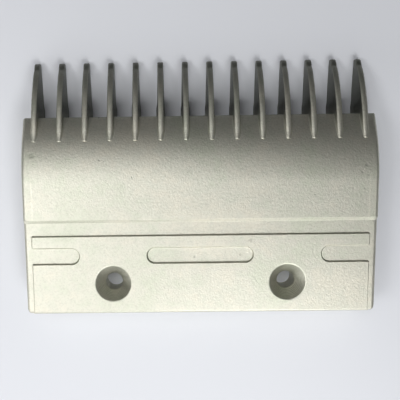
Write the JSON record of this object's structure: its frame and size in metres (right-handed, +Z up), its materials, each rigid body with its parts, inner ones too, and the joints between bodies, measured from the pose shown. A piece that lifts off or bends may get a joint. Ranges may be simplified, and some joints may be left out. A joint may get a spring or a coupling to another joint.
{
  "type": "escalator comb plate",
  "caption": "Cast aluminium comb plate segment for an escalator landing: screw-down flange with countersunk holes, curved nose and long tapering teeth that mesh with the step cleats",
  "frame": {"origin": "middle of the bounding box in plan, on the underside of the teeth", "axes": "+X across the steps, along the row of teeth; +Y forward, from the screwed flange to the tooth tips; +Z up, the flange's top face is level"},
  "size_m": [0.1268, 0.0908, 0.018],
  "materials": {
    "casting": "blasted as-cast surface, matt"
  },
  "bodies": {
    "root": {"comb_plate": "casting"}
  },
  "joints": []
}
